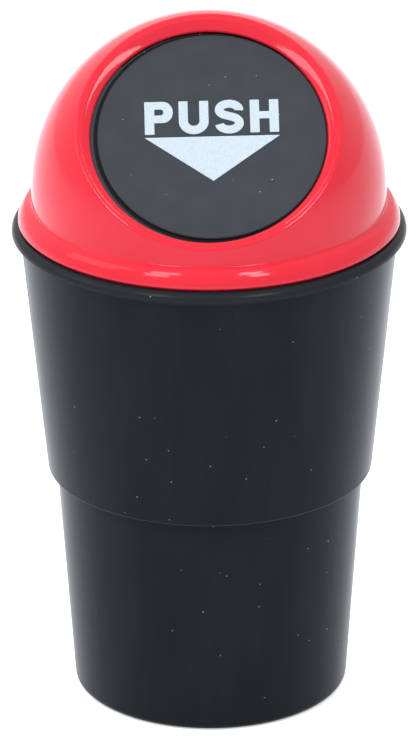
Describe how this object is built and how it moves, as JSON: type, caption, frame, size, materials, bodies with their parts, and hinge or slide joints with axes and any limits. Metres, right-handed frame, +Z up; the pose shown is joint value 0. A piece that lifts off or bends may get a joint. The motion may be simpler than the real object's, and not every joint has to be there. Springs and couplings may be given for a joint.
{
  "type": "car trash bin",
  "caption": "Stepped cup-shaped bin for a cup holder, with a domed push-on lid and a round spring-returned flap that swings inward.",
  "frame": {"origin": "centre of the ring that the cup stands on, at the ground", "axes": "+Z up along the cup's axis; the flap in the dome faces -Y; +X to the right as the flap is faced"},
  "size_m": [0.0904, 0.0904, 0.1627],
  "materials": {
    "cup_plastic": "semi-gloss moulded black with fine scuffs",
    "lid_plastic": "high-gloss moulded red",
    "flap_plastic": "fine matte moulded dark grey",
    "print_film": "flat printed ink",
    "pin_steel": "drawn wire, bright",
    "spring_steel": "bright spring wire"
  },
  "bodies": {
    "cup": {"cup": "cup_plastic"},
    "lid": {"dome_lid": "lid_plastic", "hinge_pin": "pin_steel", "return_spring": "spring_steel"},
    "flap": {"flap": "flap_plastic", "arrow_print": "print_film"}
  },
  "joints": [
    {"name": "lid_lift", "type": "slide", "parent": "cup", "child": "lid", "axis": [0, 0, 1], "range_m": [0, 0.04]},
    {"name": "flap_swing", "type": "hinge", "parent": "lid", "child": "flap", "pos_m": [0, 0.00561, 0.15255], "axis": [1, 0, 0], "range_deg": [0, 70], "stiffness_Nm_per_rad": 0.006, "springref_deg": -28.65, "deforming": ["return_spring"]}
  ]
}
